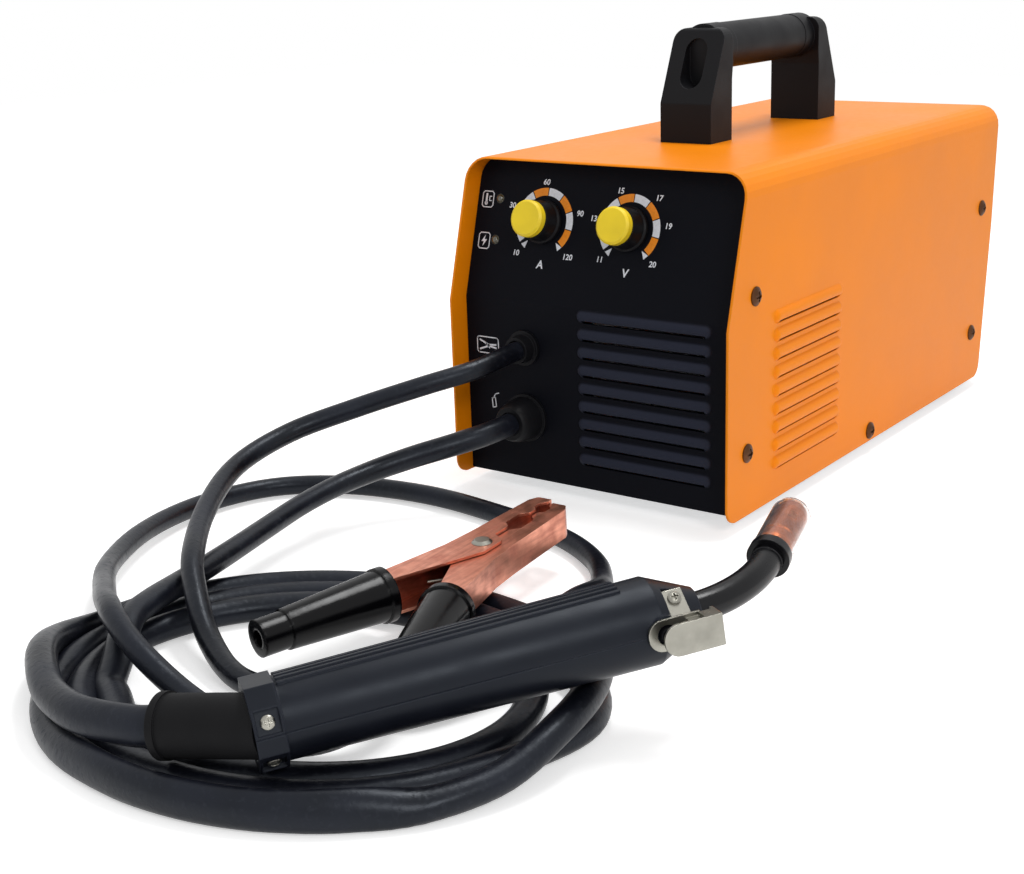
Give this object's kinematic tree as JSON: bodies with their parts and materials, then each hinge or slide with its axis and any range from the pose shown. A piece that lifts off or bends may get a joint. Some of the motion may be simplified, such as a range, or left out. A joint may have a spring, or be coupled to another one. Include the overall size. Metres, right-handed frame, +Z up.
{
  "type": "portable wire-feed welding machine",
  "caption": "Portable wire-feed welding machine: louvred sheet-steel case with a carrying handle, two dials, torch on a coiled lead and a spring earth clamp.",
  "frame": {"origin": "centre of the case's footprint on the floor", "axes": "+Y to the rear of the case, +Z up, +X to the right as seen from the front"},
  "size_m": [0.3786, 0.7239, 0.2507],
  "materials": {
    "orange_paint": "satin orange powder coat",
    "black_paint": "satin black powder coat",
    "grey_steel": "plain sheet steel",
    "zinc": "zinc plated",
    "brown_screw": "bronzed steel",
    "rubber_black": "matt black rubber",
    "lead_rubber": "satin black cable sheath",
    "plastic_black": "fine grained black plastic",
    "plastic_yellow": "satin yellow plastic",
    "vinyl_black": "glossy black vinyl",
    "copper_plate": "copper plated pressed steel",
    "copper": "turned copper",
    "clear_plastic": "clear plastic",
    "lens": "lamp lens",
    "pot_blue": "moulded plastic and tin",
    "board_green": "green circuit board",
    "core_steel": "laminated steel",
    "dark_metal": "die cast",
    "wire_steel": "wound welding wire",
    "roller_brass": "turned brass",
    "plastic_red": "red plastic"
  },
  "bodies": {
    "machine": {"cover": "orange_paint", "base_tray": "grey_steel", "front_panel": "black_paint", "rear_panel": "black_paint", "divider": "grey_steel", "door_hinges": "zinc", "feet": "rubber_black", "cover_screws": "brown_screw", "handle_front_leg": "plastic_black", "handle_rear_leg": "plastic_black", "handle_grip": "plastic_black", "handle_screws": "zinc", "potentiometers": "pot_blue", "indicator_lamps": "lens", "earth_gland": "plastic_black", "torch_gland": "plastic_black", "mains_gland": "plastic_black", "earth_lead": "lead_rubber", "torch_lead": "lead_rubber", "torch_lead_coil": "lead_rubber", "clamp_jaw_fixed": "copper_plate", "clamp_rivet": "zinc", "clamp_spring": "zinc", "clamp_boot_fixed": "vinyl_black", "torch_shell_upper": "plastic_black", "torch_shell_lower": "plastic_black", "torch_screws": "zinc", "torch_boot": "rubber_black", "torch_neck": "plastic_black", "neck_ring": "plastic_black", "nozzle": "copper", "contact_tip": "copper", "nozzle_cap": "clear_plastic", "trigger_bracket": "zinc", "fan_frame": "plastic_black", "switch_body": "plastic_black", "power_board": "board_green", "transformer_core": "core_steel", "transformer_winding": "copper", "spool_hub": "zinc", "feed_block": "dark_metal", "feed_motor": "zinc"},
    "current_knob": {"current_knob": "plastic_black", "current_cap": "plastic_yellow"},
    "voltage_knob": {"voltage_knob": "plastic_black", "voltage_cap": "plastic_yellow"},
    "trigger_lever": {"trigger_lever": "zinc"},
    "trigger_button": {"trigger_button": "plastic_black"},
    "clamp_jaw": {"clamp_jaw_moving": "copper_plate", "clamp_boot_moving": "vinyl_black"},
    "side_door": {"side_door": "orange_paint"},
    "door_latch": {"door_latch": "plastic_black"},
    "power_rocker": {"switch_rocker": "plastic_red"},
    "fan_rotor": {"fan_rotor": "plastic_black"},
    "spool": {"wire_spool": "plastic_black", "wire_winding": "wire_steel"},
    "drive_roller": {"drive_roller": "roller_brass"},
    "pressure_arm": {"pressure_arm": "plastic_red"},
    "pressure_roller": {"pressure_roller": "zinc"}
  },
  "joints": [
    {"name": "current_turn", "type": "hinge", "parent": "machine", "child": "current_knob", "pos_m": [-0.0397, -0.15833, 0.15186], "axis": [0, 0.9632, -0.2689], "range_deg": [0, 270]},
    {"name": "voltage_turn", "type": "hinge", "parent": "machine", "child": "voltage_knob", "pos_m": [0.0148, -0.15833, 0.15186], "axis": [0, 0.9632, -0.2689], "range_deg": [0, 270]},
    {"name": "trigger_squeeze", "type": "hinge", "parent": "machine", "child": "trigger_lever", "pos_m": [0.18825, -0.38235, 0.04896], "axis": [0.1276, 0.0279, -0.9914], "range_deg": [0, 9], "stiffness_Nm_per_rad": 0.1, "springref_deg": -17.19},
    {"name": "button_press", "type": "slide", "parent": "machine", "child": "trigger_button", "axis": [-0.803, 0.5896, -0.0867], "range_m": [0, 0.00267]},
    {"name": "clamp_open", "type": "hinge", "parent": "machine", "child": "clamp_jaw", "pos_m": [0.033, -0.3185, 0.0234], "axis": [0.0012, -0.0436, 0.999], "range_deg": [0, 9.5], "stiffness_Nm_per_rad": 1.5, "springref_deg": -34.38, "deforming": ["clamp_spring"]},
    {"name": "side_door_swing", "type": "hinge", "parent": "machine", "child": "side_door", "pos_m": [-0.0895, 0.1235, 0.09], "axis": [0, 0, -1], "range_deg": [0, 110]},
    {"name": "door_latch_turn", "type": "hinge", "parent": "side_door", "child": "door_latch", "pos_m": [-0.0875, -0.098, 0.097], "axis": [1, 0, 0], "range_deg": [0, 90]},
    {"name": "power_rocker_tilt", "type": "hinge", "parent": "machine", "child": "power_rocker", "pos_m": [-0.0505, 0.1621, 0.131], "axis": [1, 0, 0], "range_deg": [0, 14]},
    {"name": "fan_spin", "type": "hinge", "parent": "machine", "child": "fan_rotor", "pos_m": [0.034, 0.1385, 0.057], "axis": [0, 1, 0], "continuous": true},
    {"name": "spool_spin", "type": "hinge", "parent": "machine", "child": "spool", "pos_m": [-0.0475, 0.062, 0.083], "axis": [1, 0, 0], "continuous": true},
    {"name": "drive_roller_spin", "type": "hinge", "parent": "machine", "child": "drive_roller", "pos_m": [-0.0465, -0.07, 0.0286], "axis": [1, 0, 0], "continuous": true},
    {"name": "pressure_arm_lift", "type": "hinge", "parent": "machine", "child": "pressure_arm", "pos_m": [-0.0465, -0.094, 0.06895], "axis": [1, 0, 0], "range_deg": [0, 45]},
    {"name": "pressure_roller_spin", "type": "hinge", "parent": "pressure_arm", "child": "pressure_roller", "pos_m": [-0.0465, -0.07, 0.05495], "axis": [1, 0, 0], "continuous": true}
  ],
  "couplings": [
    {"joint": "trigger_squeeze", "follows": "button_press", "rad_per_m": 58.824},
    {"joint": "pressure_roller_spin", "follows": "drive_roller_spin", "ratio": -1.3636}
  ]
}
